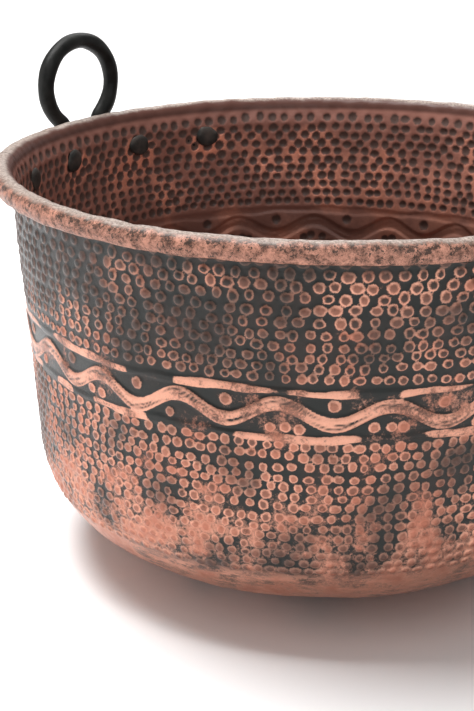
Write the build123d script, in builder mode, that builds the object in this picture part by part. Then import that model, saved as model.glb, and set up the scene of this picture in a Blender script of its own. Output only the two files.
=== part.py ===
from build123d import *
from math import cos, degrees, radians, sin
import os

# A deep cauldron-shaped bowl raised from one sheet of copper.  Its rim is rolled outwards over an
# iron wire, and two forged iron loop handles are riveted to the wall under the rim.
# Millimetres, +Z up, origin on the floor under the middle of the bowl.
# The handles stand on +X and -X.

# Copper sheet
sheet = 1.5               # thickness of the copper
rim_radius = 225.0        # axis of the rim wire
rim_height = 278.0
roll_radius = 7.8         # outside radius of the rolled rim
roll_turn = 222.0         # degrees that the edge is rolled round the wire

# Outside of the wall, from the floor up: radius and height where one stretch meets the next
foot_radius = 55.0        # flat patch that the bowl rests on
dish = (168.0, 28.5)
shoulder = (207.0, 90.0)
collar = (216.0, 238.0)   # the wall is upright from here to the rim
collar_top = 268.0

# Iron wire inside the roll, with a small gap where its two ends meet
wire_radius = roll_radius - sheet
wire_clearance = 0.05
wire_gap = 1.2
wire_joint_angle = 218.0

# Handles: a round bar bent into a loop, with two arms hammered flat against the wall
bar_radius = 6.3
loop_half_width, loop_half_height = 36.5, 34.0
loop_centre_height = rim_height + 31.0
loop_reach = rim_radius + roll_radius + bar_radius + 0.6
loop_closing = 52.0       # degrees below the loop's middle where the legs begin
neck_spread = 18.8        # sideways, from the handle's middle to each leg at its neck
leg_spread = 20.5         # and where it meets its arm
neck_height = rim_height + 1.5
leg_reach = 217.5         # the legs end here, inside the thickness of the arms
leg_bend = 7.5
arm_height = rim_height - 20.5
arm_width, arm_thickness = 18.0, 5.0
arm_start, arm_tip = 24.0, 104.0          # middles of the arm's round ends, sideways
arm_clearance = 0.05

# Rivets, four to a handle
rivet_angles = (-27.8, -10.2, 10.2, 27.8)
shank_radius = 4.0
shank_clearance = 0.05
inner_head_radius, inner_head_height = 9.2, 2.8
outer_head_radius, outer_head_height = 6.0, 3.6
head_gap = 0.25           # a flat head clears the hollow curve of the wall by this much

wall_radius = collar[0]
handle_angles = {"right": 0.0, "left": 180.0}


def save(part, name):
    part.label = name
    export_step(part, f"parts/{name}.step")


def outward(angle):
    return Vector(cos(radians(angle)), sin(radians(angle)), 0)


# The copper sheet, drawn by its outside line and thickened inwards
with BuildPart() as bowl_shell:
    with BuildSketch(Plane.XZ):
        with BuildLine():
            foot = Line((0, 0), (foot_radius, 0))
            bottom = TangentArc(foot @ 1, dish, tangent=foot % 1)
            knuckle = TangentArc(bottom @ 1, shoulder, tangent=bottom % 1)
            side = Line(knuckle @ 1, collar)
            upright = Line(side @ 1, (wall_radius, collar_top))
            roll = CenterArc((rim_radius, rim_height), wire_radius, 180, -roll_turn)
            Line(upright @ 1, roll @ 0)
            offset(amount=sheet, side=Side.LEFT, closed=True)
        make_face()
    revolve(axis=Axis.Z)
    for handle_angle in handle_angles.values():
        for rivet_angle in rivet_angles:
            direction = outward(handle_angle + rivet_angle)
            start = direction * (wall_radius - 10) + Vector(0, 0, arm_height)
            with BuildSketch(Plane(origin=start, z_dir=direction)):
                Circle(shank_radius + shank_clearance)
            extrude(amount=20, mode=Mode.SUBTRACT)

# Iron wire, closed in the roll
with BuildPart() as rim_wire:
    with BuildSketch(Plane.XZ.rotated((0, 0, wire_joint_angle))):
        with Locations((rim_radius, rim_height)):
            Circle(wire_radius - wire_clearance)
    revolve(axis=Axis.Z, revolution_arc=360 - degrees(wire_gap / rim_radius))

# Round bar of a handle: the loop and its two legs, at +X
with BuildPart() as bar:
    with BuildLine(Plane.YZ.offset(loop_reach)) as loop:
        EllipticalCenterArc(
            (0, loop_centre_height),
            loop_half_width,
            loop_half_height,
            start_angle=-loop_closing,
            arc_size=180 + 2 * loop_closing,
        )
    with BuildLine() as path:
        add(loop.line)
        for way, start in ((1, loop.line @ 0), (-1, loop.line @ 1)):
            FilletPolyline(
                start,
                (loop_reach, way * neck_spread, neck_height),
                (loop_reach, way * leg_spread, arm_height),
                (leg_reach, way * leg_spread, arm_height),
                radius=leg_bend,
            )
    bar_path = path.wires()[0]
    with BuildSketch(Plane(origin=bar_path @ 0, z_dir=bar_path % 0)):
        Circle(bar_radius)
    sweep(path=bar_path)

# Flat arms of a handle, drawn from the front and cut to the curve of the wall
with BuildPart() as arms:
    with BuildSketch(Plane.YZ):
        for way in (1, -1):
            with Locations((way * (arm_start + arm_tip) / 2, arm_height)):
                SlotCenterToCenter(arm_tip - arm_start, arm_width)
    extrude(amount=rim_radius)
    with BuildSketch(Plane.XY.offset(arm_height - arm_width)):
        Circle(wall_radius + arm_thickness)
        Circle(wall_radius + arm_clearance, mode=Mode.SUBTRACT)
    extrude(amount=2 * arm_width, mode=Mode.INTERSECT)

# Handle at +X, with its rivet holes
with BuildPart() as handle:
    add(bar.part)
    add(arms.part)
    for rivet_angle in rivet_angles:
        direction = outward(rivet_angle)
        start = direction * wall_radius + Vector(0, 0, arm_height)
        with BuildSketch(Plane(origin=start, z_dir=direction)):
            Circle(shank_radius + shank_clearance)
        extrude(amount=2 * arm_thickness, mode=Mode.SUBTRACT)

# Rivet along +X: a domed head inside, a shank through wall and arm, a smaller head outside
inner_seat = wall_radius - sheet - head_gap
outer_seat = wall_radius + arm_thickness
with BuildPart() as rivet:
    with BuildSketch(Plane.XY):
        with BuildLine():
            inner_dome = ThreePointArc(
                (inner_seat - inner_head_height, 0),
                (inner_seat - 0.75 * inner_head_height, 0.55 * inner_head_radius),
                (inner_seat, inner_head_radius),
            )
            outer_dome = ThreePointArc(
                (outer_seat + outer_head_height, 0),
                (outer_seat + 0.75 * outer_head_height, 0.55 * outer_head_radius),
                (outer_seat, outer_head_radius),
            )
            Polyline(
                inner_dome @ 1,
                (inner_seat, shank_radius),
                (outer_seat, shank_radius),
                outer_dome @ 1,
            )
            Line(inner_dome @ 0, outer_dome @ 0)
        make_face()
    revolve(axis=Axis.X)

os.makedirs("parts", exist_ok=True)
save(bowl_shell.part, "bowl_shell")
save(rim_wire.part, "rim_wire")
for side_name, handle_angle in handle_angles.items():
    with BuildPart() as placed_handle:
        add(handle.part, rotation=(0, 0, handle_angle))
    save(placed_handle.part, f"handle_{side_name}")
    for number, rivet_angle in enumerate(rivet_angles, start=1):
        with BuildPart(Plane.XY.offset(arm_height)) as placed_rivet:
            add(rivet.part, rotation=(0, 0, handle_angle + rivet_angle))
        save(placed_rivet.part, f"rivet_{side_name}_{number}")
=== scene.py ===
import math
import bpy
import numpy as np
from mathutils import Matrix, Vector


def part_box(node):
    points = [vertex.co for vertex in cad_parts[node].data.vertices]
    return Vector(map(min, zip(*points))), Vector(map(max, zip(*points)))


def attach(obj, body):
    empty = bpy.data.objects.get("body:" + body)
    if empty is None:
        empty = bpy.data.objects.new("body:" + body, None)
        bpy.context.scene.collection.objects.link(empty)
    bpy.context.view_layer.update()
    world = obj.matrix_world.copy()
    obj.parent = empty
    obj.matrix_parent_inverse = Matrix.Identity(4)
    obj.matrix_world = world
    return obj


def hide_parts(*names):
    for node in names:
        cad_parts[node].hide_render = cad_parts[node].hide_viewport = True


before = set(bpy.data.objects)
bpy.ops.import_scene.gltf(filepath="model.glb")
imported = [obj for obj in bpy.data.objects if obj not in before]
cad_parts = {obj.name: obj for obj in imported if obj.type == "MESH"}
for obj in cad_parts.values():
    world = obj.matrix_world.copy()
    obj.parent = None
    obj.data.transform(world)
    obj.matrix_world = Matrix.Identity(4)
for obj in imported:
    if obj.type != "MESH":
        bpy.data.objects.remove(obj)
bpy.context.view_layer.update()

# A hammered copper cauldron with a rolled rim and riveted iron loop handles.
# Metres, in the CAD frame: the bowl's axis is Z, the floor is z = 0, the handles stand on +X and -X.

MM = 0.001
rng = np.random.default_rng(7)

rivet_nodes = [f"rivet_{side}_{number}" for side in ("right", "left") for number in range(1, 5)]

# Sizes from the frame
wire_clearance = 0.05 * MM
wire_low, wire_high = (np.array(corner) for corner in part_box("rim_wire"))
wire_radius = (wire_high[2] - wire_low[2]) / 2
rim_height = (wire_high[2] + wire_low[2]) / 2
rim_radius = wire_high[0] - wire_radius
roll_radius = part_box("bowl_shell")[1][0] - rim_radius
sheet = roll_radius - wire_radius - wire_clearance
loop_outside, loop_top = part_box("handle_right")[1][0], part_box("handle_right")[1][2]
arm_height = (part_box("rivet_right_1")[0][2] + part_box("rivet_right_1")[1][2]) / 2

# The bowl's outside line, as in the CAD: radius and height
foot = (55 * MM, 0.0)
dish = (168 * MM, 28.5 * MM)
shoulder = (207 * MM, 90 * MM)
collar = (216 * MM, 238 * MM)
collar_top = (216 * MM, 268 * MM)
roll_turn = math.radians(222)
wall_outside = collar[0]

# Handles: a round bar in the loop, drawn out flat along both arms
bar_radius = 6.3 * MM
bar_step = 1.6 * MM
loop_half_width, loop_half_height = 36.5 * MM, 34.0 * MM
loop_closing = 52                                 # degrees below the loop's middle where the legs begin
loop_plane = loop_outside - bar_radius
loop_middle = loop_top - bar_radius - loop_half_height
arm_start_angle, arm_end_angle = 9.0, 31.2        # degrees from the handle's middle
arm_half_width, arm_half_thickness = 9.0 * MM, 2.5 * MM

# Rivet heads in mm: radius, and reach outwards from the face that the head bears on
inner_head = ((0.0, -2.5), (2.9, -2.45), (5.4, -2.3), (7.4, -1.75), (8.6, -0.9), (9.0, -0.1), (8.8, 0.25))
outer_head = ((5.9, -0.1), (6.1, 0.5), (5.5, 1.6), (4.2, 2.6), (2.3, 3.3), (0.0, 3.5))
shank_radius = 4.0

# Pattern of the wall, as distances under the rim's middle along the sheet
columns = 1080
rows_over_band = np.arange(7.5, 83, 7.1) * MM
rows_under_band = np.arange(122.5, 216, 6.9) * MM
band_top, band_bottom = 87.0 * MM, 116.8 * MM
border_half = 2.7 * MM
waves = 21
wave_crest = math.radians(-78.1)          # where one crest stands
wave_height = 6.3 * MM
ribbon_half = 5.2 * MM
painted_shade_side = math.radians(-100)           # painted shade dulls the marks here, over the band
seam_angle = math.radians(218)            # where the rolled rim's ends meet


# ---------------------------------------------------------------- outside line of the sheet

def arc_to(start, heading, end, step):
    """Points along the arc that leaves start at this heading and passes through end."""
    chord = np.subtract(end, start)
    turn = 2 * (math.atan2(chord[1], chord[0]) - heading)
    radius = np.hypot(*chord) / (2 * math.sin(turn / 2))
    count = max(2, int(abs(radius * turn) / step))
    angles = heading + turn * np.linspace(0, 1, count + 1)[1:]
    across = radius * (np.sin(angles) - math.sin(heading))
    up = radius * (math.cos(heading) - np.cos(angles))
    return np.stack([start[0] + across, start[1] + up], 1), heading + turn


def line_to(start, end, step):
    count = max(1, int(np.hypot(*np.subtract(end, start)) / step))
    share = np.linspace(0, 1, count + 1)[1:, None]
    return np.array(start) * (1 - share) + np.array(end) * share


def outside_line():
    """Outside face of the copper from the middle of the foot to the cut edge inside the roll."""
    bottom, heading = arc_to(foot, 0.0, dish, 3 * MM)
    knuckle, heading = arc_to(dish, heading, shoulder, 1.3 * MM)
    inner = wire_radius + wire_clearance
    roll_start = (rim_radius - inner, rim_height)
    turn = math.pi - np.linspace(0, roll_turn, 27)[1:]
    roll = np.stack([rim_radius + inner * np.cos(turn), rim_height + inner * np.sin(turn)], 1)
    return np.concatenate([
        np.array([(0.0, 0.0)]),
        line_to((0.0, 0.0), foot, 5 * MM),
        bottom,
        knuckle,
        line_to(shoulder, collar, 1.25 * MM),
        line_to(collar, collar_top, 1.25 * MM),
        line_to(collar_top, roll_start, 1.2 * MM),
        roll,
    ])


def smooth(line, passes):
    """Even out a row of values or points in place; its two ends stay."""
    for _ in range(passes):
        line[1:-1] = (line[:-2] + 2 * line[1:-1] + line[2:]) / 4
    return line


# ---------------------------------------------------------------- patterns, as fields over the wall

def smoothstep(low, high, x):
    share = np.clip((x - low) / (high - low), 0, 1)
    return share * share * (3 - 2 * share)


def bell(x, width):
    return np.exp(-(x / width) ** 2)


def turned_from(middle, angle):
    """Signed angle from the middle, the short way round."""
    return (angle - middle + math.pi) % (2 * math.pi) - math.pi


def ripple(angle, length, count, shortest, longest, seed):
    """Slow uneven field of about -1 to 1 over the wall, closed round the bowl."""
    draw = np.random.default_rng(seed)
    field = 0
    for _ in range(count):
        size = draw.uniform(shortest, longest)
        turns = round(2 * math.pi * rim_radius / size * draw.uniform(-1, 1))
        climb = 2 * math.pi / size * draw.uniform(-1, 1)
        field = field + np.sin(turns * angle + climb * length + draw.uniform(0, 6.3))
    return field / math.sqrt(count)


def marks_around(drop):
    """How many marks a row has: a multiple of four, more where they are smaller."""
    return int(np.interp(drop, [25 * MM, 50 * MM, 80 * MM], [124, 140, 156])) // 4 * 4


def place_marks(rows):
    """Middles of hammer marks in staggered, slightly uneven rows: angle and drop under the rim."""
    places = []
    for row, row_drop in enumerate(rows):
        count = marks_around(row_drop)
        start = math.pi / count * (row % 2)
        wander = rng.uniform(0, 6.3, 2)
        for number in range(count):
            angle = start + 2 * math.pi * (number + rng.uniform(-0.14, 0.14)) / count
            angle += 0.016 * math.sin(4 * angle + wander[0])
            sway = 1.2 * MM * math.sin(5 * angle + wander[1])
            places.append((angle, row_drop + sway + rng.normal(0, 0.5 * MM)))
    return np.array(places)


def spread(places, radius):
    """Move marks that overlap apart."""
    around = 2 * math.pi * rim_radius
    flat = places * (rim_radius, 1)
    for _ in range(7):
        gap = flat[:, None] - flat[None]
        gap[..., 0] = (gap[..., 0] + around / 2) % around - around / 2
        distance = np.linalg.norm(gap, axis=2) + np.eye(len(flat))
        overlap = np.clip(1.08 * (radius[:, None] + radius[None]) - distance, 0, None)
        flat = flat + 0.35 * np.sum(gap * (overlap / distance)[..., None], axis=1)
    return flat / (rim_radius, 1)


class Wall:
    """The sheet as a grid of rows along its outside line by columns round the bowl."""

    def __init__(self):
        self.line = smooth(outside_line(), 6)
        tangent = np.gradient(self.line, axis=0)
        tangent /= np.linalg.norm(tangent, axis=1)[:, None]
        self.normal = np.stack([tangent[:, 1], -tangent[:, 0]], 1)
        steps = np.linalg.norm(np.diff(self.line, axis=0), axis=1)
        self.length = np.concatenate([[0], np.cumsum(steps)])
        self.rows = len(self.line)
        self.angle = np.linspace(0, 2 * math.pi, columns, endpoint=False)
        # Distance down the sheet from the rim's middle, which follows the bottom's curve too
        rim_row = int(np.argmax(self.line[:, 1] > rim_height - 2 * MM))
        self.drop = self.length[rim_row] - self.length
        shape = (self.rows, columns)
        self.grid_angle = np.broadcast_to(self.angle, shape)
        self.grid_drop = np.broadcast_to(self.drop[:, None], shape)
        self.raised = np.zeros(shape)
        self.dimple = np.full(shape, 1.6)
        self.tone = np.full(shape, 0.5)
        self.relief = np.zeros(shape)
        self.groove = np.zeros(shape)

    def stamp(self, angle, drop, radius, height, tone, stretch=1.0):
        """Raise one round mark."""
        near_rows = np.nonzero(np.abs(self.drop - drop) < 1.7 * radius)[0]
        row_radius = self.line[near_rows, 0]
        reach = int(1.7 * radius / row_radius.min() / (2 * math.pi) * columns) + 2
        middle = int(angle / (2 * math.pi) * columns)
        near_columns = np.arange(middle - reach, middle + reach + 1) % columns
        turn = turned_from(angle, self.angle[near_columns])
        across = turn[None, :] * row_radius[:, None] / stretch
        along = (self.drop[near_rows] - drop)[:, None] * stretch
        distance = np.hypot(across, along) / radius
        cells = np.ix_(near_rows, near_columns)
        closer = distance < self.dimple[cells]
        self.dimple[cells] = np.where(closer, distance, self.dimple[cells])
        self.tone[cells] = np.where(closer, tone, self.tone[cells])
        dome = height * (1 - smoothstep(0.45, 1.12, distance))
        self.raised[cells] = np.maximum(self.raised[cells], dome)

    def hammer(self):
        """Round marks in rows over and under the wave band."""
        for rows in (rows_over_band, rows_under_band):
            places = place_marks(rows)
            size = np.interp(places[:, 1], [20 * MM, 80 * MM, 210 * MM], [3.7 * MM, 3.3 * MM, 3.25 * MM])
            radius = size * rng.uniform(0.88, 1.12, len(places))
            for (angle, drop), size_here in zip(spread(places, radius), radius):
                height = rng.uniform(0.9, 1.4) * MM
                tone = rng.uniform(0, 1)
                self.stamp(angle % (2 * math.pi), drop, size_here, height, tone, rng.uniform(0.90, 1.15))

    def emboss_borders(self):
        """A broken ridge along the top and the bottom of the band."""
        drop, angle = self.grid_drop, self.grid_angle
        for border in (band_top, band_bottom):
            sway = 0.7 * MM * np.sin(9 * angle + border * 900) + 0.4 * MM * np.sin(31 * angle)
            width = border_half * (1 + 0.25 * np.sin(13 * angle + border * 500) + 0.12 * np.sin(47 * angle))
            ridge = 1 - smoothstep(0.6, 1.2, np.abs(drop - border - sway) / width)
            breaks = ripple(angle, drop, 9, 25 * MM, 90 * MM, int(border * 1e5))
            present = smoothstep(-0.75, 0.1, breaks)
            self.raised = np.maximum(self.raised, 0.8 * MM * ridge)
            self.relief = np.maximum(self.relief, ridge * (0.10 + 0.85 * present))

    def wave_line(self, angle):
        """Distance under the rim of the ribbon's middle."""
        middle = (band_top + band_bottom) / 2
        wobble = 0.9 * MM * np.sin(3 * angle + 1) + 0.6 * MM * np.sin(7 * angle)
        phase = waves * (angle - wave_crest) + 0.35 * np.sin(4 * angle)
        return middle - wave_height * np.cos(phase) + wobble

    def emboss_ribbon(self):
        """The wave ribbon, with three broken tool cuts along it."""
        drop, angle = self.grid_drop, self.grid_angle
        offset = (drop - self.wave_line(angle)) / ribbon_half
        ribbon = 1 - smoothstep(0.72, 1.12, np.abs(offset))
        phase = waves * (angle - wave_crest)
        uneven = 0.12 * np.sin(17 * angle) + 0.08 * np.sin(53 * angle)
        cut = bell(offset - 0.40 - uneven, 0.11) * smoothstep(-0.5, 0.5, np.sin(phase - 1.7))
        cut += bell(offset + uneven, 0.10) * smoothstep(0.0, 0.6, np.sin(2 * phase + 0.6))
        cut += bell(offset + 0.36 + uneven, 0.12) * smoothstep(-0.4, 0.5, np.sin(phase + 1.1))
        self.raised = np.maximum(self.raised, 1.5 * MM * ribbon) - 0.5 * MM * cut
        self.relief = np.maximum(self.relief, ribbon)
        self.groove = np.maximum(self.groove, cut)

    def emboss_dots(self):
        """One dot over each trough of the wave, and one to three under each crest."""
        for wave in range(waves):
            crest = wave_crest + 2 * math.pi * wave / waves
            trough = crest + math.pi / waves + rng.normal(0, 0.008)
            self.stamp(trough % (2 * math.pi), band_top + 8.0 * MM, 4.1 * MM, 1.3 * MM, 0.3)
            for side in (-1, 0, 1)[: rng.integers(1, 4)]:
                angle = crest + side * 0.038 + rng.normal(0, 0.006)
                drop = band_bottom - rng.uniform(5, 8) * MM
                self.stamp(angle % (2 * math.pi), drop, rng.uniform(3.2, 4.0) * MM, 1.1 * MM, 0.3)

    def dent_sheet(self):
        """Uneven wall, planished bottom and the rim's small knocks; the foot stays flat."""
        angle, drop = self.grid_angle, self.grid_drop
        body = smoothstep(4 * MM, 40 * MM, drop)
        self.dent = 0.9 * MM * ripple(angle, drop, 9, 120 * MM, 400 * MM, 3) * body
        self.dent += 0.22 * MM * ripple(angle, drop, 14, 22 * MM, 60 * MM, 4) * body
        low = smoothstep(205 * MM, 222 * MM, drop)
        self.dent += 0.16 * MM * ripple(angle, drop, 18, 9 * MM, 20 * MM, 5) * low
        rim = 1 - smoothstep(2 * MM, 12 * MM, drop)
        self.dent += 0.30 * MM * ripple(angle, drop, 14, 10 * MM, 36 * MM, 6) * rim
        off_foot = smoothstep(foot[0] * 0.7, foot[0] * 1.5, self.line[:, 0])
        self.dent *= off_foot[:, None]

    def mark_seam(self):
        """A slanting line over the roll, where the ends of the rim's edge meet."""
        angle, drop = self.grid_angle, self.grid_drop
        across = turned_from(seam_angle, angle) * rim_radius + 0.22 * (drop + 10 * MM)
        seam = bell(across, 0.75 * MM) * (1 - smoothstep(-3 * MM, 2 * MM, drop))
        self.dent += 0.5 * MM * seam
        self.groove = np.maximum(self.groove, seam)

    def rub_bright_and_shade(self):
        """Where handling and cleaning have brightened the copper, about 0 to 1, duller down one side; it
        also carries painted shade that dulls the marks over the band on one side and just under the roll.
        """
        angle, drop = self.grid_angle, self.grid_drop
        self.rub_and_shade = 0.55 + 0.22 * ripple(angle, drop, 12, 30 * MM, 130 * MM, 8)
        away = turned_from(painted_shade_side, angle)
        # Painted shade: the marks over the band are dulled on this side.
        self.rub_and_shade -= 0.50 * bell(away, 0.42) * (1 - smoothstep(38 * MM, 66 * MM, drop))
        self.rub_and_shade -= 0.40 * bell(away + 0.65, 0.38)
        # Painted shade under the roll: the marks nearest the rim are dulled.
        self.rub_and_shade -= 0.30 * (1 - smoothstep(10 * MM, 22 * MM, drop))
        self.rub_and_shade -= 0.35 * (1 - smoothstep(10 * MM, 13 * MM, drop))
        for node in rivet_nodes:
            low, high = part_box(node)
            across = turned_from(math.atan2(low[1] + high[1], low[0] + high[0]), angle) * rim_radius
            along = drop - (rim_height - (low[2] + high[2]) / 2)
            self.rub_and_shade += 0.75 * bell(np.hypot(across, along), 15 * MM)

    def points(self, offset):
        """The grid's points, moved from the outside line along its normal."""
        shift = self.raised + self.dent + offset
        radius = self.line[:, :1] + self.normal[:, :1] * shift
        height = np.maximum(self.line[:, 1:] + self.normal[:, 1:] * shift, -offset)
        near_rim = smoothstep(0.0, 1.0, self.line[:, 1:] / rim_height) ** 3
        sway = 0.7 * MM * np.sin(2 * self.angle - 1.2) + 0.35 * MM * np.sin(5 * self.angle)
        height = height + near_rim * sway
        radius = np.maximum(radius, 0)
        return np.stack([radius * np.cos(self.angle), radius * np.sin(self.angle), height], 2)


# ---------------------------------------------------------------- the bowl's mesh

def add_to_scene(name, mesh):
    mesh.shade_smooth()
    piece = bpy.data.objects.new(name, mesh)
    bpy.context.scene.collection.objects.link(piece)
    return piece


def sheet_faces(rows):
    """Corners of all faces and each face's corner count: quads, then a fan round each end's point."""
    index = np.arange(rows * columns).reshape(rows, columns)
    turned = np.roll(index, -1, axis=1)
    quads = np.stack([index[:-1], turned[:-1], turned[1:], index[1:]], 2).reshape(-1, 4)
    low, high = rows * columns, rows * columns + 1
    first = np.stack([np.full(columns, low), turned[0], index[0]], 1)
    last = np.stack([np.full(columns, high), index[-1], turned[-1]], 1)
    corners = np.concatenate([quads.ravel(), first.ravel(), last.ravel()])
    sizes = np.concatenate([np.full(len(quads), 4), np.full(2 * columns, 3)])
    return corners, sizes


def fill_mesh(mesh, vertices, corners, sizes):
    mesh.vertices.add(len(vertices))
    mesh.vertices.foreach_set("co", vertices.astype(np.float32).ravel())
    mesh.loops.add(len(corners))
    mesh.loops.foreach_set("vertex_index", corners.astype(np.int32))
    mesh.polygons.add(len(sizes))
    starts = np.concatenate([[0], np.cumsum(sizes)[:-1]])
    mesh.polygons.foreach_set("loop_start", starts.astype(np.int32))
    mesh.update(calc_edges=True)


def store_fields(mesh, wall):
    """Give every point its place in the pattern, for the material to read."""
    side = np.zeros((wall.rows - 1) * columns)
    inside = np.concatenate([side, side + 1, [0, 1]])
    mesh.attributes.new("inside", "FLOAT", "POINT").data.foreach_set("value", inside.astype(np.float32))
    fields = {"dimple": wall.dimple, "tone": wall.tone, "relief": wall.relief,
              "groove": wall.groove, "rub_and_shade": wall.rub_and_shade, "drop": wall.grid_drop}
    for name, field in fields.items():
        ends = [field[0].mean(), field[0].mean()]
        values = np.concatenate([field[1:].ravel(), field[:0:-1].ravel(), ends]).astype(np.float32)
        mesh.attributes.new(name, "FLOAT", "POINT").data.foreach_set("value", values)


def unroll(mesh, wall, rows, corners, sizes):
    """Lay the sheet out flat for baking: round the bowl is across, along the sheet is up."""
    first_end, last_end = rows * columns, rows * columns + 1
    face_of = np.repeat(np.arange(len(sizes)), sizes)
    face_column = np.tile(np.arange(columns), rows + 1)[face_of]
    corner_column = (corners % columns).astype(float)
    wraps = (face_column == columns - 1) & (corner_column == 0)
    across = np.where(wraps, columns, corner_column)
    across = np.where(corners >= first_end, face_column + 0.5, across) / columns
    whole = 2 * wall.length[-1] + sheet
    lengths = np.concatenate([wall.length[1:], whole - wall.length[:0:-1], [0.0, whole]])
    corner_row = np.where(corners == last_end, rows + 1, corners // columns)
    up = lengths[corner_row] / whole
    layer = mesh.uv_layers.new(name="OFBake")
    layer.data.foreach_set("uv", np.stack([across, up], 1).astype(np.float32).ravel())


def build_bowl(wall):
    """One closed sheet: the outside grid, the cut edge and the inside grid back to the middle."""
    outer = wall.points(0.0)
    inner = wall.points(-sheet)
    grid = np.concatenate([outer[1:], inner[:0:-1]])
    ends = np.array([[0, 0, outer[0, 0, 2]], [0, 0, inner[0, 0, 2]]])
    corners, sizes = sheet_faces(len(grid))
    mesh = bpy.data.meshes.new("hammered_bowl")
    fill_mesh(mesh, np.concatenate([grid.reshape(-1, 3), ends]), corners, sizes)
    store_fields(mesh, wall)
    unroll(mesh, wall, len(grid), corners, sizes)
    return add_to_scene("hammered_bowl", mesh)


# ---------------------------------------------------------------- forged handles and rivets

def new_object(name, vertices, faces):
    mesh = bpy.data.meshes.new(name)
    mesh.from_pydata(np.asarray(vertices).tolist(), [], faces)
    mesh.validate()
    return add_to_scene(name, mesh)


def tube_faces(rings, sides):
    """Quads between rings of points."""
    faces = []
    for ring in range(rings - 1):
        for side in range(sides):
            following = (side + 1) % sides
            faces.append((ring * sides + side, ring * sides + following,
                          (ring + 1) * sides + following, (ring + 1) * sides + side))
    return faces


def handle_half_path():
    """From the top of the loop down one leg and out along the arm: points, flatness from 0 to 1."""
    points, flatness = [], []
    for degrees in np.linspace(90, -loop_closing, 40):
        turn = math.radians(degrees)
        side = loop_half_width * math.cos(turn)
        points.append((loop_plane, side, loop_middle + loop_half_height * math.sin(turn)))
        flatness.append(0.0)
    for side, height in ((20.6, 2.9), (19.6, 0.9), (19.3, -2.0), (19.7, -7.0), (20.3, -12.0)):
        points.append((loop_plane, side * MM, rim_height + height * MM))
        flatness.append(0.0)
    for inward, side, rise, flat in ((3.0, 21.4, 3.6, 0.12), (9.0, 23.6, 0.6, 0.35), (14.5, 27.5, 0.0, 0.7)):
        points.append((loop_plane - inward * MM, side * MM, arm_height + rise * MM))
        flatness.append(flat)
    reach = wall_outside + arm_half_thickness + 0.15 * MM
    for degrees in np.linspace(arm_start_angle, arm_end_angle, 26):
        turn = math.radians(degrees)
        points.append((reach * math.cos(turn), reach * math.sin(turn), arm_height))
        flatness.append(1.0)
    return points, flatness


def resample(points, extras):
    """Even steps along the path, with its corners eased."""
    points = np.array(points)
    distance = np.concatenate([[0], np.cumsum(np.linalg.norm(np.diff(points, axis=0), axis=1))])
    even = np.linspace(0, distance[-1], int(distance[-1] / bar_step))
    place = np.stack([np.interp(even, distance, points[:, axis]) for axis in range(3)], 1)
    return smooth(place, 5), smooth(np.interp(even, distance, extras), 5)


def unit(vectors):
    return vectors / np.linalg.norm(vectors, axis=1)[:, None]


def square_to(tangent, vectors):
    return vectors - tangent * np.sum(vectors * tangent, axis=1)[:, None]


def bar_directions(centre):
    """Directions of the bar's depth, outwards from the bowl, and of its width."""
    tangent = unit(np.gradient(centre, axis=0))
    depth = square_to(tangent, unit(centre * (1, 1, 0)))
    # Where the bar itself runs outwards, the direction before it is kept
    for row in np.nonzero(np.linalg.norm(depth, axis=1) < 0.35)[0]:
        depth[row] = depth[row - 1]
    depth = unit(square_to(tangent, smooth(unit(depth), 4)))
    return depth, np.cross(tangent, depth)


def bar_section(flat, draw):
    """Half depth and half width along the bar, with a smith's unevenness and round ends."""
    count = len(flat)
    along = np.linspace(0, 1, count)
    to_end = np.minimum(np.arange(count), np.arange(count)[::-1]) * bar_step
    round_end = np.sqrt(np.clip(1 - (1 - np.clip(to_end / arm_half_width, 0, 1)) ** 2, 0.02, 1))
    swell = 1 + 0.035 * np.sin(along * 41 + draw.uniform(0, 6))
    swell += 0.025 * np.sin(along * 97 + draw.uniform(0, 6))
    deep = (bar_radius * (1 - flat) + arm_half_thickness * flat) * (1 + (swell - 1) * (1 - 0.8 * flat))
    wide = (bar_radius * (1 - flat) + arm_half_width * flat * round_end) * swell
    return deep, wide


def ring_shapes(flat, sides):
    """Outline of each section, across and sideways: round in the loop, squarer along the arms."""
    along = np.linspace(0, 1, len(flat))[:, None]
    ring = np.linspace(0, 2 * math.pi, sides, endpoint=False)
    c, s = np.cos(ring), np.sin(ring)
    power = 1 - 0.55 * flat[:, None]
    facets = 1 + 0.018 * np.sin(3 * ring + 9 * along) + 0.012 * np.sin(5 * ring - 23 * along)
    across = np.sign(c) * np.abs(c) ** power * facets
    sideways = np.sign(s) * np.abs(s) ** np.minimum(1, power + 0.2) * facets
    return across, sideways


def build_handle(name, turned, seed):
    """One bar, round in the loop and drawn out flat along both arms."""
    points, flatness = handle_half_path()
    mirrored = [(x, -y, z) for x, y, z in points[:0:-1]]
    centre, flat = resample(mirrored + points, flatness[:0:-1] + flatness)
    depth, width = bar_directions(centre)
    deep, wide = bar_section(flat, np.random.default_rng(seed))
    sides = 28
    across, sideways = ring_shapes(flat, sides)
    grid = centre[:, None] + depth[:, None] * (across * deep[:, None])[..., None]
    grid = grid + width[:, None] * (sideways * wide[:, None])[..., None]
    # The arms bear on the wall and never enter it
    from_axis = np.hypot(grid[..., 0], grid[..., 1])
    push = np.maximum(1, (wall_outside + 0.1 * MM) / from_axis)
    grid[..., :2] *= np.where(grid[..., 2] < rim_height, push, 1)[..., None]
    if turned:
        grid[..., :2] *= -1
    faces = tube_faces(len(grid), sides)
    faces.append(tuple(range(sides))[::-1])
    faces.append(tuple((len(grid) - 1) * sides + side for side in range(sides)))
    return new_object(name, grid.reshape(-1, 3), faces)


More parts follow.
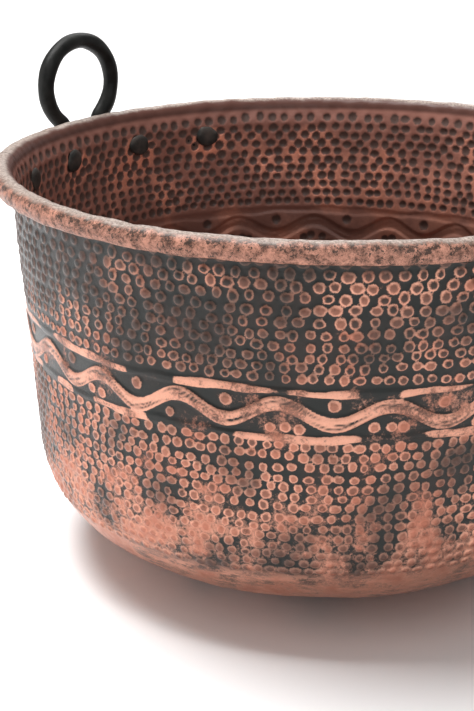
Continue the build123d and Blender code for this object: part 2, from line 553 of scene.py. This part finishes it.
def rivet_profile():
    """Radius and distance from the bowl's axis, from the inner head's middle to the outer one's."""
    inner_face = wall_outside - sheet - 0.2 * MM
    outer_face = wall_outside + 2 * arm_half_thickness
    inner = inner_head + ((shank_radius, 0.25),)
    outer = ((shank_radius, -0.1),) + outer_head
    profile = [(radius * MM, inner_face + reach * MM) for radius, reach in inner]
    return profile + [(radius * MM, outer_face + reach * MM) for radius, reach in outer]


def build_rivet(name, node, seed):
    """A rivet with a hammered dome on each end of its shank."""
    draw = np.random.default_rng(seed)
    low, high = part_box(node)
    turn = math.atan2(low[1] + high[1], low[0] + high[0])
    axis = np.array([math.cos(turn), math.sin(turn), 0])
    up = np.array([0, 0, 1.0])
    sideways = np.cross(axis, up)
    profile = rivet_profile()
    sides = 40
    bulge = draw.uniform(0, 6.3, 3)
    vertices = []
    for radius, reach in profile[1:-1]:
        # The heads are uneven, but the shank and the outer head's crown stay even
        even = radius < 4.01 * MM and reach > wall_outside - sheet - 1.2 * MM
        for side in range(sides):
            angle = 2 * math.pi * side / sides
            uneven = 1 + 0.05 * math.sin(2 * angle + bulge[0]) + 0.035 * math.sin(3 * angle + bulge[1])
            uneven += 0.02 * math.sin(7 * angle + bulge[2])
            spoke = sideways * math.cos(angle) * 1.06 + up * math.sin(angle) * 0.95
            vertices.append(axis * reach + spoke * radius * (0.93 if even else uneven) + up * arm_height)
    tilt = draw.uniform(-0.3, 0.3, 2) * MM
    vertices.append(axis * profile[0][1] + up * (arm_height + tilt[0]))
    vertices.append(axis * profile[-1][1] + up * (arm_height + tilt[1]))
    rings = len(profile) - 2
    faces = tube_faces(rings, sides)
    start, end = rings * sides, rings * sides + 1
    for side in range(sides):
        following = (side + 1) % sides
        faces.append((start, following, side))
        faces.append((end, (rings - 1) * sides + side, (rings - 1) * sides + following))
    piece = new_object(name, vertices, faces)
    smoother = piece.modifiers.new("subdivide", "SUBSURF")
    smoother.levels = 1
    smoother.render_levels = 1
    return piece


# ---------------------------------------------------------------- materials

class Nodes:
    """Short calls for building a shader."""

    def __init__(self, name):
        self.material = bpy.data.materials.new(name)
        self.material.use_nodes = True
        self.tree = self.material.node_tree
        self.shader = self.tree.nodes["Principled BSDF"]

    def put(self, socket, value):
        if isinstance(value, bpy.types.NodeSocket):
            self.tree.links.new(value, socket)
        else:
            socket.default_value = value

    def attribute(self, name):
        node = self.tree.nodes.new("ShaderNodeAttribute")
        node.attribute_name = name
        return node.outputs["Fac"]

    def noise(self, scale, detail=4.0, rough=0.55, stretch=None):
        vector = self.tree.nodes.new("ShaderNodeTexCoord").outputs["Object"]
        if stretch:
            mapping = self.tree.nodes.new("ShaderNodeMapping")
            mapping.inputs["Scale"].default_value = stretch
            self.put(mapping.inputs["Vector"], vector)
            vector = mapping.outputs[0]
        node = self.tree.nodes.new("ShaderNodeTexNoise")
        self.put(node.inputs["Vector"], vector)
        node.inputs["Scale"].default_value = scale
        node.inputs["Detail"].default_value = detail
        node.inputs["Roughness"].default_value = rough
        return node.outputs["Fac"]

    def math(self, operation, *values):
        """One operation run over all the values in turn."""
        total = values[0]
        for value in values[1:]:
            node = self.tree.nodes.new("ShaderNodeMath")
            node.operation = operation
            self.put(node.inputs[0], total)
            self.put(node.inputs[1], value)
            total = node.outputs[0]
        return total

    def add(self, *values):
        return self.math("ADD", *values)

    def times(self, *values):
        return self.math("MULTIPLY", *values)

    def less(self, value, part):
        return self.math("SUBTRACT", value, part)

    def swing(self, noise, amount):
        """A noise turned into an amount to either side of nought."""
        return self.times(self.less(noise, 0.5), amount)

    def scale(self, value, low, high, to_low=0.0, to_high=1.0):
        """Smooth ramp from to_low to to_high as the value goes from low to high."""
        node = self.tree.nodes.new("ShaderNodeMapRange")
        node.interpolation_type = "SMOOTHSTEP"
        self.put(node.inputs["Value"], value)
        node.inputs["From Min"].default_value = low
        node.inputs["From Max"].default_value = high
        node.inputs["To Min"].default_value = to_low
        node.inputs["To Max"].default_value = to_high
        return node.outputs["Result"]

    def mix(self, share, a, b):
        node = self.tree.nodes.new("ShaderNodeMix")
        node.data_type = "RGBA"
        self.put(node.inputs[0], share)
        self.put(node.inputs[6], a)
        self.put(node.inputs[7], b)
        return node.outputs[2]

    def bump(self, height, distance, strength):
        node = self.tree.nodes.new("ShaderNodeBump")
        node.inputs["Distance"].default_value = distance
        node.inputs["Strength"].default_value = strength
        self.put(node.inputs["Height"], height)
        self.put(self.shader.inputs["Normal"], node.outputs["Normal"])


class CopperFields:
    """The pattern's fields as the shader reads them, with the noises that break them up."""

    def __init__(self, n):
        self.dimple, self.tone, self.rub_and_shade = n.attribute("dimple"), n.attribute("tone"), n.attribute("rub_and_shade")
        self.relief, self.groove = n.attribute("relief"), n.attribute("groove")
        self.drop, self.inside = n.attribute("drop"), n.attribute("inside")
        self.cloud = n.noise(45.0, 4.0, 0.6)
        self.grain = n.noise(520.0, 5.0, 0.7)
        self.ragged = n.add(n.swing(self.grain, 0.45), n.swing(n.noise(300.0, 4.0, 0.65), 0.60))
        self.edge = n.add(self.dimple, self.ragged)
        self.upper = n.scale(self.drop, 0.060, 0.130, 1.0, 0.0)
        self.handled_and_shaded = n.add(self.rub_and_shade, n.swing(self.cloud, 0.9))


def bright_marks(n, f):
    """Marks outside: a bright ring, and a middle that is bright or still dark."""
    disc = n.scale(f.edge, 0.84, 1.06, 1.0, 0.0)
    hollow = n.scale(n.add(f.tone, n.times(f.upper, 0.60)), 0.20, 1.45, 0.10, 0.95)
    dot = n.times(n.scale(f.edge, 0.42, 0.80, 1.0, 0.0), hollow)
    # rubbed also carries the painted shade that dulls the marks over the band on one side and under the
    # roll.
    rubbed = n.scale(n.less(f.handled_and_shaded, n.times(f.upper, 0.10)), 0.05, 0.62, 0.14, 1.0)
    return n.times(n.less(disc, dot), rubbed)


def worn_ground(n, f):
    """Copper between the marks, where they have worn together: low on the wall and by the band."""
    lower = n.times(n.scale(f.drop, 0.115, 0.215), 0.30)
    from_band = n.math("ABSOLUTE", n.less(f.drop, 0.102), 0.0)
    near_band = n.times(n.scale(from_band, 0.012, 0.028, 1.0, 0.0), 0.10)
    ground = n.add(n.times(f.rub_and_shade, 0.30), f.cloud, lower, near_band, n.times(f.grain, 0.5))
    return n.scale(ground, 1.06, 1.27, 0.0, 0.85)


def planished_bottom(n, f):
    """The smooth knuckle under the last row of marks, streaked with patina."""
    low = n.scale(f.drop, 0.209, 0.223)
    under = n.scale(f.drop, 0.262, 0.300)
    streaks = n.noise(60.0, 5.0, 0.65, (1.0, 1.0, 3.5))
    clean = n.scale(n.add(streaks, n.times(f.grain, 0.6)), 0.70, 0.92, 0.95, 0.10)
    return n.times(low, n.less(1.0, under), clean)


def raised_band(n, f):
    """The wave and its borders stand proud and are rubbed bright, all but the cuts."""
    proud = n.scale(n.add(f.relief, n.times(f.ragged, 0.9)), 0.38, 0.66)
    clean = n.scale(n.add(f.cloud, n.times(f.grain, 0.9)), 0.88, 1.16, 1.0, 0.15)
    return n.times(proud, n.less(1.0, f.groove), clean)


def bright_share(n, f):
    """How much of the surface is bare copper; inside, that is a thin net between dark pits."""
    outside = n.math("MAXIMUM", bright_marks(n, f), worn_ground(n, f), planished_bottom(n, f),
                     raised_band(n, f))
    net = n.times(n.scale(f.edge, 0.94, 1.26), n.scale(f.handled_and_shaded, 0.40, 0.95, 0.04, 1.0))
    below_rim = n.scale(f.drop, 0.004, 0.016)
    return n.add(n.times(outside, n.less(1.0, f.inside)), n.times(net, below_rim, f.inside))


def wall_colour(n, f, share):
    """Bare copper over patina, browner inside, with painted shade darkening the inside deeper down."""
    dull = n.mix(f.grain, (0.34, 0.130, 0.085, 1), (0.58, 0.245, 0.165, 1))
    ring = n.mix(f.grain, (0.52, 0.230, 0.155, 1), (0.80, 0.42, 0.30, 1))
    salmon = n.mix(n.scale(f.edge, 0.45, 0.85), dull, ring)
    salmon = n.mix(n.scale(f.cloud, 0.42, 0.80), salmon, (0.46, 0.165, 0.105, 1))
    salmon = n.mix(f.inside, salmon, (0.95, 0.400, 0.270, 1))
    patina = n.mix(n.scale(f.cloud, 0.35, 0.75), (0.006, 0.008, 0.007, 1), (0.022, 0.014, 0.011, 1))
    pit = n.mix(n.scale(f.edge, 0.70, 1.15), (0.098, 0.060, 0.050, 1), (0.270, 0.120, 0.092, 1))
    # Painted shade: deeper inside the bowl, the colour is mixed towards dark brown.
    deep = n.times(n.scale(f.drop, 0.055, 0.105), f.inside, 0.72)
    return n.mix(deep, n.mix(share, n.mix(f.inside, patina, pit), salmon), (0.040, 0.020, 0.016, 1))


def roll_colour(n, f):
    """The roll of the rim: brown within, a painted greyish highlight on top, specked copper outside."""
    pores = n.noise(560.0, 5.0, 0.75)
    belt = n.add(n.scale(f.drop, -0.0200, -0.0165, 0.0, 0.07), n.times(n.noise(130.0, 5.0, 0.65), 0.8))
    specks = n.scale(n.add(belt, pores), 0.965, 1.02)
    # Painted highlight: these greyish colours on the roll's top stand in for the white reflection there.
    top = n.mix(n.scale(pores, 0.3, 0.7), (0.110, 0.078, 0.064, 1), (0.44, 0.355, 0.305, 1))
    mottle = n.add(n.times(pores, 0.55), n.times(n.noise(210.0, 4.0, 0.7), 0.45))
    face = n.mix(n.scale(mottle, 0.36, 0.60), (0.070, 0.034, 0.025, 1), (0.52, 0.250, 0.178, 1))
    face = n.mix(n.times(specks, 0.9), face, (0.022, 0.019, 0.016, 1))
    height = n.add(f.drop, n.swing(f.cloud, 0.006))
    # The painted highlight covers the roll's top; the specked face lies outside it.
    roll = n.mix(n.scale(height, -0.0160, -0.0125), face, top)
    roll = n.mix(n.scale(height, -0.0095, -0.0060), roll, (0.090, 0.038, 0.029, 1))
    return n.mix(n.times(f.groove, 0.8), roll, (0.05, 0.04, 0.035, 1))


def copper_material():
    """Copper rubbed bright on what stands proud, with dark patina left in the hollows."""
    n = Nodes("hammered_copper")
    f = CopperFields(n)
    share = bright_share(n, f)
    on_roll = n.times(n.scale(f.drop, 0.002, -0.002), f.inside)
    n.put(n.shader.inputs["Base Color"], n.mix(on_roll, wall_colour(n, f, share), roll_colour(n, f)))
    metal = n.less(n.scale(share, 0.1, 0.8, 0.30, 0.82), n.times(f.inside, 0.30))
    n.put(n.shader.inputs["Metallic"], metal)
    n.put(n.shader.inputs["Roughness"], n.add(n.scale(share, 0.0, 1.0, 0.34, 0.40), n.swing(f.cloud, 0.25)))
    n.put(n.shader.inputs["Specular IOR Level"], n.less(0.32, n.times(f.inside, 0.14)))
    n.put(n.shader.inputs["Coat Weight"], n.times(n.less(1.0, f.inside), 0.22))
    n.shader.inputs["Coat Roughness"].default_value = 0.4
    n.bump(n.add(n.times(f.grain, 0.7), n.times(n.noise(1500.0, 3.0, 0.6), 0.3)), 0.0006, 0.55)
    return n.material


def iron_material(name, base, scale_colour):
    """Forged iron, black with scale, a little rubbed on its high places."""
    n = Nodes(name)
    lumps = n.noise(90.0, 4.0)
    grain = n.noise(700.0, 4.0, 0.6)
    n.put(n.shader.inputs["Base Color"], n.mix(n.scale(lumps, 0.35, 0.7), base, scale_colour))
    n.shader.inputs["Specular IOR Level"].default_value = 0.16
    n.put(n.shader.inputs["Roughness"], n.scale(lumps, 0.3, 0.7, 0.38, 0.52))
    n.bump(n.add(n.times(lumps, 0.6), n.times(grain, 0.4)), 0.0009, 0.6)
    return n.material


def floor_material():
    n = Nodes("studio_floor")
    n.put(n.shader.inputs["Base Color"], n.mix(n.noise(3.0), (0.93, 0.92, 0.92, 1), (0.96, 0.95, 0.95, 1)))
    n.shader.inputs["Roughness"].default_value = 0.75
    return n.material


# ---------------------------------------------------------------- camera and studio

# The camera, in the rim's own frame: distance in rim radii, angles in radians, lens and sensor in mm
camera_turn = math.radians(34.8)
camera_distance, camera_height_angle = 4.390, 0.2212
camera_pitch, camera_yaw = 0.3586, -0.0645
camera_lens, camera_sensor = 70.38, 36


def add_camera():
    about_rim = Vector((0, -math.cos(camera_height_angle), math.sin(camera_height_angle)))
    about_rim *= rim_radius * camera_distance
    forward = Vector((math.sin(camera_yaw) * math.cos(camera_pitch),
                      math.cos(camera_yaw) * math.cos(camera_pitch), -math.sin(camera_pitch)))
    right = Vector((math.cos(camera_yaw), -math.sin(camera_yaw), 0))
    axes = Matrix((right, right.cross(forward), -forward)).transposed().to_4x4()
    turn = Matrix.Rotation(camera_turn, 4, "Z")
    rim_middle = Matrix.Translation(Vector((0, 0, rim_height)))
    data = bpy.data.cameras.new("camera")
    data.sensor_width = camera_sensor
    data.lens = camera_lens
    data.clip_start = 0.01
    camera = bpy.data.objects.new("camera", data)
    bpy.context.scene.collection.objects.link(camera)
    camera.matrix_world = rim_middle @ turn @ Matrix.Translation(about_rim) @ axes
    bpy.context.scene.camera = camera


def toward_camera(across, near, up):
    """A point given to the camera's right, towards the camera and up, turned into the frame."""
    return Matrix.Rotation(camera_turn, 3, "Z") @ Vector((across, -near, up))


def add_floor():
    bpy.ops.mesh.primitive_plane_add(size=40, location=(0, 0, 0))
    floor = bpy.context.object
    floor.name = "studio_floor"
    floor.data.materials.append(floor_material())
    return floor


def add_area(name, place, target, size, power):
    data = bpy.data.lights.new(name, "AREA")
    data.shape = "RECTANGLE"
    data.size, data.size_y = size
    data.energy = power
    lamp = bpy.data.objects.new(name, data)
    bpy.context.scene.collection.objects.link(lamp)
    lamp.location = place
    lamp.rotation_euler = (Vector(target) - Vector(place)).to_track_quat("-Z", "Y").to_euler()
    return lamp


def keep_off(lamp, piece):
    """Let this lamp light everything but one piece."""
    receivers = bpy.data.collections.new(f"{lamp.name}_receivers")
    receivers.objects.link(piece)
    receivers.collection_objects[0].light_linking.link_state = "EXCLUDE"
    lamp.light_linking.receiver_collection = receivers


def sky_ramp(tree, rise, low, high, at_low, at_high):
    """Strength that goes from at_low to at_high as the direction's rise goes from low to high."""
    ramp = tree.nodes.new("ShaderNodeMapRange")
    tree.links.new(rise, ramp.inputs["Value"])
    ramp.inputs["From Min"].default_value = low
    ramp.inputs["From Max"].default_value = high
    ramp.inputs["To Min"].default_value = at_low
    ramp.inputs["To Max"].default_value = at_high
    return ramp.outputs["Result"]


def add_world(level, overhead, horizon):
    """White light from all round, stronger from above, with a pale band along the horizon."""
    world = bpy.data.worlds.new("studio_world")
    world.use_nodes = True
    tree = world.node_tree
    place = tree.nodes.new("ShaderNodeTexCoord")
    parts = tree.nodes.new("ShaderNodeSeparateXYZ")
    tree.links.new(place.outputs["Generated"], parts.inputs[0])
    total = tree.nodes.new("ShaderNodeMath")
    tree.links.new(sky_ramp(tree, parts.outputs["Z"], 0.0, 1.0, level, overhead), total.inputs[0])
    tree.links.new(sky_ramp(tree, parts.outputs["Z"], 0.06, 0.22, horizon - level, 0.0), total.inputs[1])
    background = tree.nodes["Background"]
    background.inputs["Color"].default_value = (1, 1, 1, 1)
    tree.links.new(total.outputs[0], background.inputs["Strength"])
    bpy.context.scene.world = world
    bpy.context.scene.view_settings.view_transform = "Standard"


# ---------------------------------------------------------------- the scene

add_camera()
floor = add_floor()
add_world(0.03, 0.60, 0.95)
add_area("overhead", toward_camera(-0.8, -0.1, 2.9), (0, 0, 0.1), (1.4, 1.4), 128)
add_area("backdrop", toward_camera(0, -3.0, 2.4), toward_camera(0, -3.001, 0), (2.0, 2.0), 60)
add_area("left_window", toward_camera(-1.9, 0.5, 0.5), (0, 0, 0.15), (0.9, 0.7), 5)
fill = add_area("front_fill", toward_camera(0.8, 2.2, 1.3), (0, 0, 0.2), (1.2, 1.0), 14)
keep_off(fill, floor)

copper = copper_material()
iron = iron_material("forged_iron", (0.006, 0.0065, 0.006, 1), (0.015, 0.015, 0.014, 1))
rivet_iron = iron_material("rivet_iron", (0.030, 0.030, 0.028, 1), (0.075, 0.060, 0.052, 1))

wall = Wall()
wall.hammer()
wall.emboss_borders()
wall.emboss_ribbon()
wall.emboss_dots()
wall.dent_sheet()
wall.mark_seam()
wall.rub_bright_and_shade()
bowl = build_bowl(wall)
bowl.data.materials.append(copper)
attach(bowl, "root")
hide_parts("bowl_shell")

for side, turned, seed in (("right", False, 21), ("left", True, 22)):
    handle = build_handle(f"forged_handle_{side}", turned, seed)
    handle.data.materials.append(iron)
    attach(handle, "root")
    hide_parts(f"handle_{side}")
    for number in range(1, 5):
        node = f"rivet_{side}_{number}"
        rivet = build_rivet(f"forged_{node}", node, 10 * seed + number)
        rivet.data.materials.append(rivet_iron)
        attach(rivet, "root")
        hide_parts(node)

wire = bpy.data.objects["rim_wire"]
for slot in wire.material_slots:
    slot.material = iron
